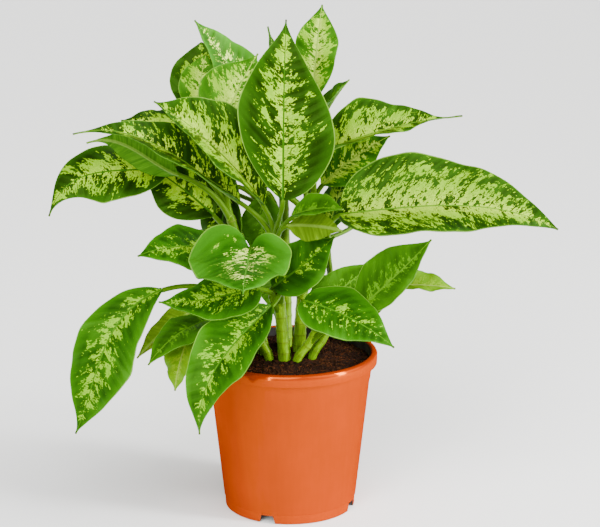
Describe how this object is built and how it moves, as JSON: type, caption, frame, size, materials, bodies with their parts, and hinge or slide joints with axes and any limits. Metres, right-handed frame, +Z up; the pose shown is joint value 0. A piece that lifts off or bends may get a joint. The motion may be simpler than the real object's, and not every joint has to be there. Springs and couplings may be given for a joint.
{
  "type": "potted dieffenbachia",
  "caption": "Bushy dieffenbachia with large speckled oval leaves on arching stalks, rooted in moist peat in a round tapered growers' pot with a rolled rim.",
  "frame": {"origin": "centre of the pot's underside, on the surface that it stands on", "axes": "+Z up along the pot's axis, +X towards the side of the longest leaf, -Y towards the side that is usually looked at"},
  "size_m": [0.475, 0.3501, 0.4851],
  "materials": {
    "pot_plastic": "terracotta orange, satin gloss",
    "peat": "moist dark brown peat with fibres",
    "stem_green": "smooth yellow green stem",
    "leaf_dark": "waxy dark green leaf with pale speckles",
    "leaf_bright": "waxy leaf with heavy yellow green speckles",
    "leaf_pale": "waxy pale yellow green leaf"
  },
  "bodies": {
    "root": {"pot": "pot_plastic", "soil": "peat", "cane_back": "stem_green", "cane_centre": "stem_green", "cane_far_left": "stem_green", "cane_far_right": "stem_green", "cane_front": "stem_green", "cane_left": "stem_green", "cane_right": "stem_green", "leaf_back_left": "leaf_bright", "leaf_big_right": "leaf_bright", "leaf_cream_left": "leaf_bright", "leaf_crown": "leaf_dark", "leaf_deep_right": "leaf_bright", "leaf_far_left": "leaf_dark", "leaf_front_droop": "leaf_dark", "leaf_front_low": "leaf_dark", "leaf_front_mid": "leaf_dark", "leaf_front_right": "leaf_dark", "leaf_front_round": "leaf_dark", "leaf_hidden_top": "leaf_bright", "leaf_inner_centre": "leaf_dark", "leaf_inner_left": "leaf_dark", "leaf_lance_right": "leaf_dark", "leaf_light_left": "leaf_pale", "leaf_long_left": "leaf_bright", "leaf_low_left": "leaf_dark", "leaf_mid_left": "leaf_dark", "leaf_mid_right": "leaf_dark", "leaf_notched_left": "leaf_bright", "leaf_old_left": "leaf_pale", "leaf_olive_left": "leaf_dark", "leaf_pale_centre": "leaf_pale", "leaf_pale_left": "leaf_pale", "leaf_pale_right": "leaf_pale", "leaf_peak_left": "leaf_bright", "leaf_peak_right": "leaf_dark", "leaf_rear": "leaf_bright", "leaf_rear_left": "leaf_dark", "leaf_rear_low": "leaf_dark", "leaf_rear_low_left": "leaf_dark", "leaf_rear_low_right": "leaf_dark", "leaf_rear_right": "leaf_bright", "leaf_right_back": "leaf_bright", "leaf_shade_left": "leaf_dark", "leaf_small_centre": "leaf_dark", "leaf_top_right": "leaf_pale", "leaf_under_left": "leaf_dark", "leaf_upper_left": "leaf_bright", "leaf_upper_right": "leaf_bright", "leaf_young_right": "leaf_pale"}
  },
  "joints": []
}
